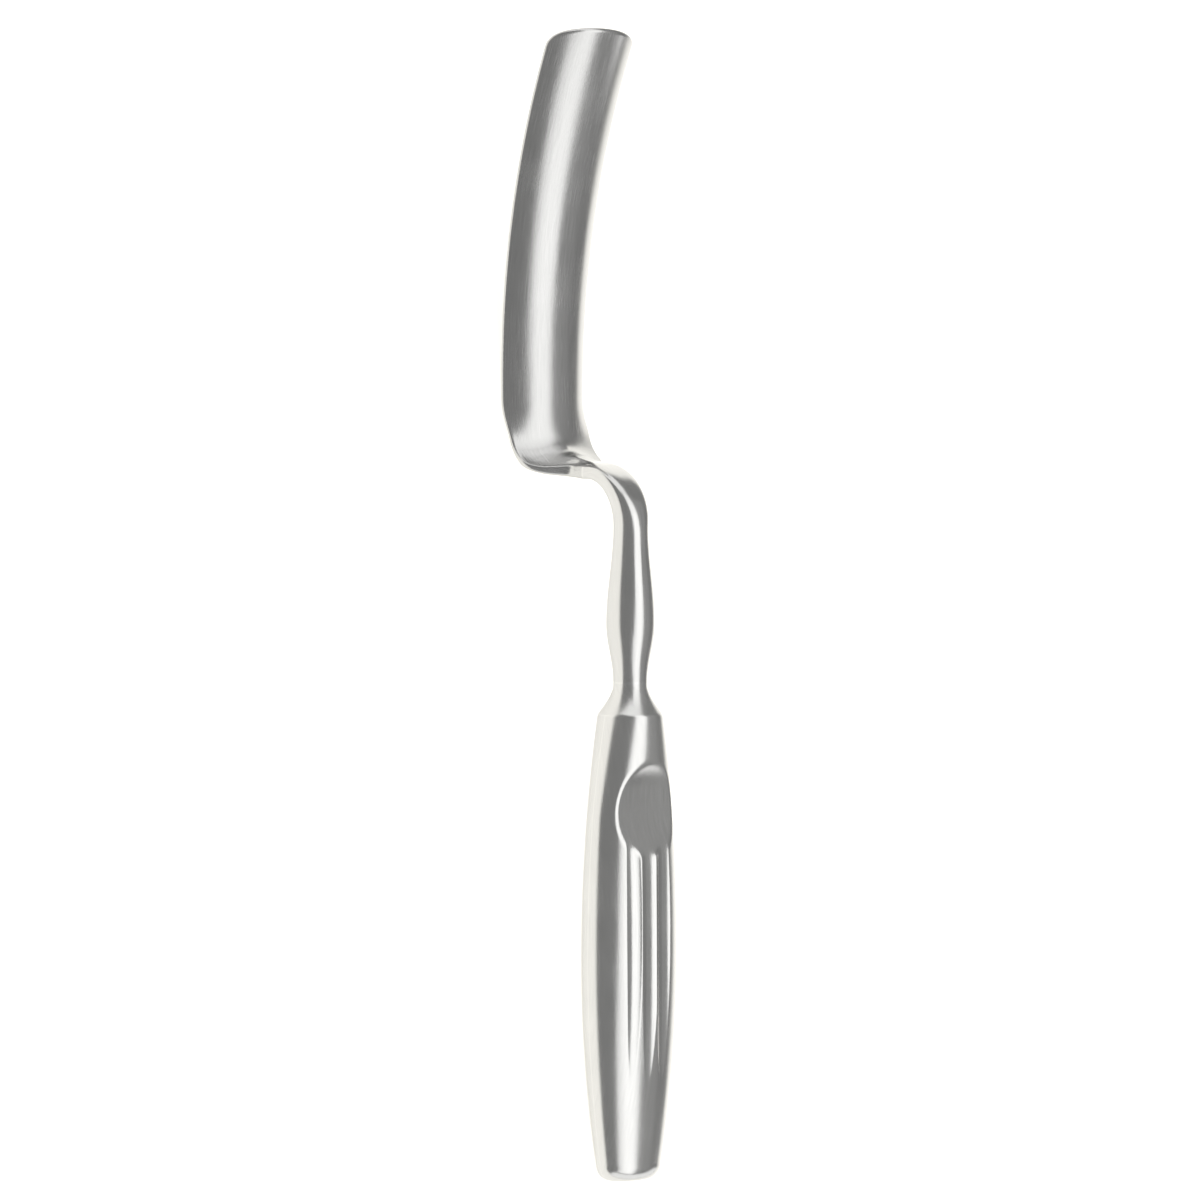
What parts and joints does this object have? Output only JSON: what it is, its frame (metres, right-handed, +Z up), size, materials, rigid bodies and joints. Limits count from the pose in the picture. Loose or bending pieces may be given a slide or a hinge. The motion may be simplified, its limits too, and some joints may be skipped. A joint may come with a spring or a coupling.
{
  "type": "cranked gutter-blade hand retractor",
  "caption": "Long satin steel hand retractor: hollow oval handle with thumb rest and finger flutes, baluster shank, stepped crank and a curved gutter blade with a rounded tip.",
  "frame": {"origin": "centre of the footprint's bounding box on the table the tool lies on, thumb rest up", "axes": "+Y from the handle's butt toward the blade tip, +Z up out of the table on the thumb-rest side, +X sideways across the blade"},
  "size_m": [0.0306, 0.3096, 0.0438],
  "materials": {
    "blade_steel": "satin ground lengthwise, rolled bright edges",
    "shank_steel": "satin, smoothly polished",
    "handle_steel": "fine satin, bead blasted and brushed lengthwise",
    "bush_steel": "plain machined, hidden inside the handle"
  },
  "bodies": {
    "root": {"gutter_blade": "blade_steel", "cranked_shank": "shank_steel", "shoulder_collar": "handle_steel", "handle_front_shell": "handle_steel", "handle_back_shell": "handle_steel", "tang_bush": "bush_steel"}
  },
  "joints": []
}
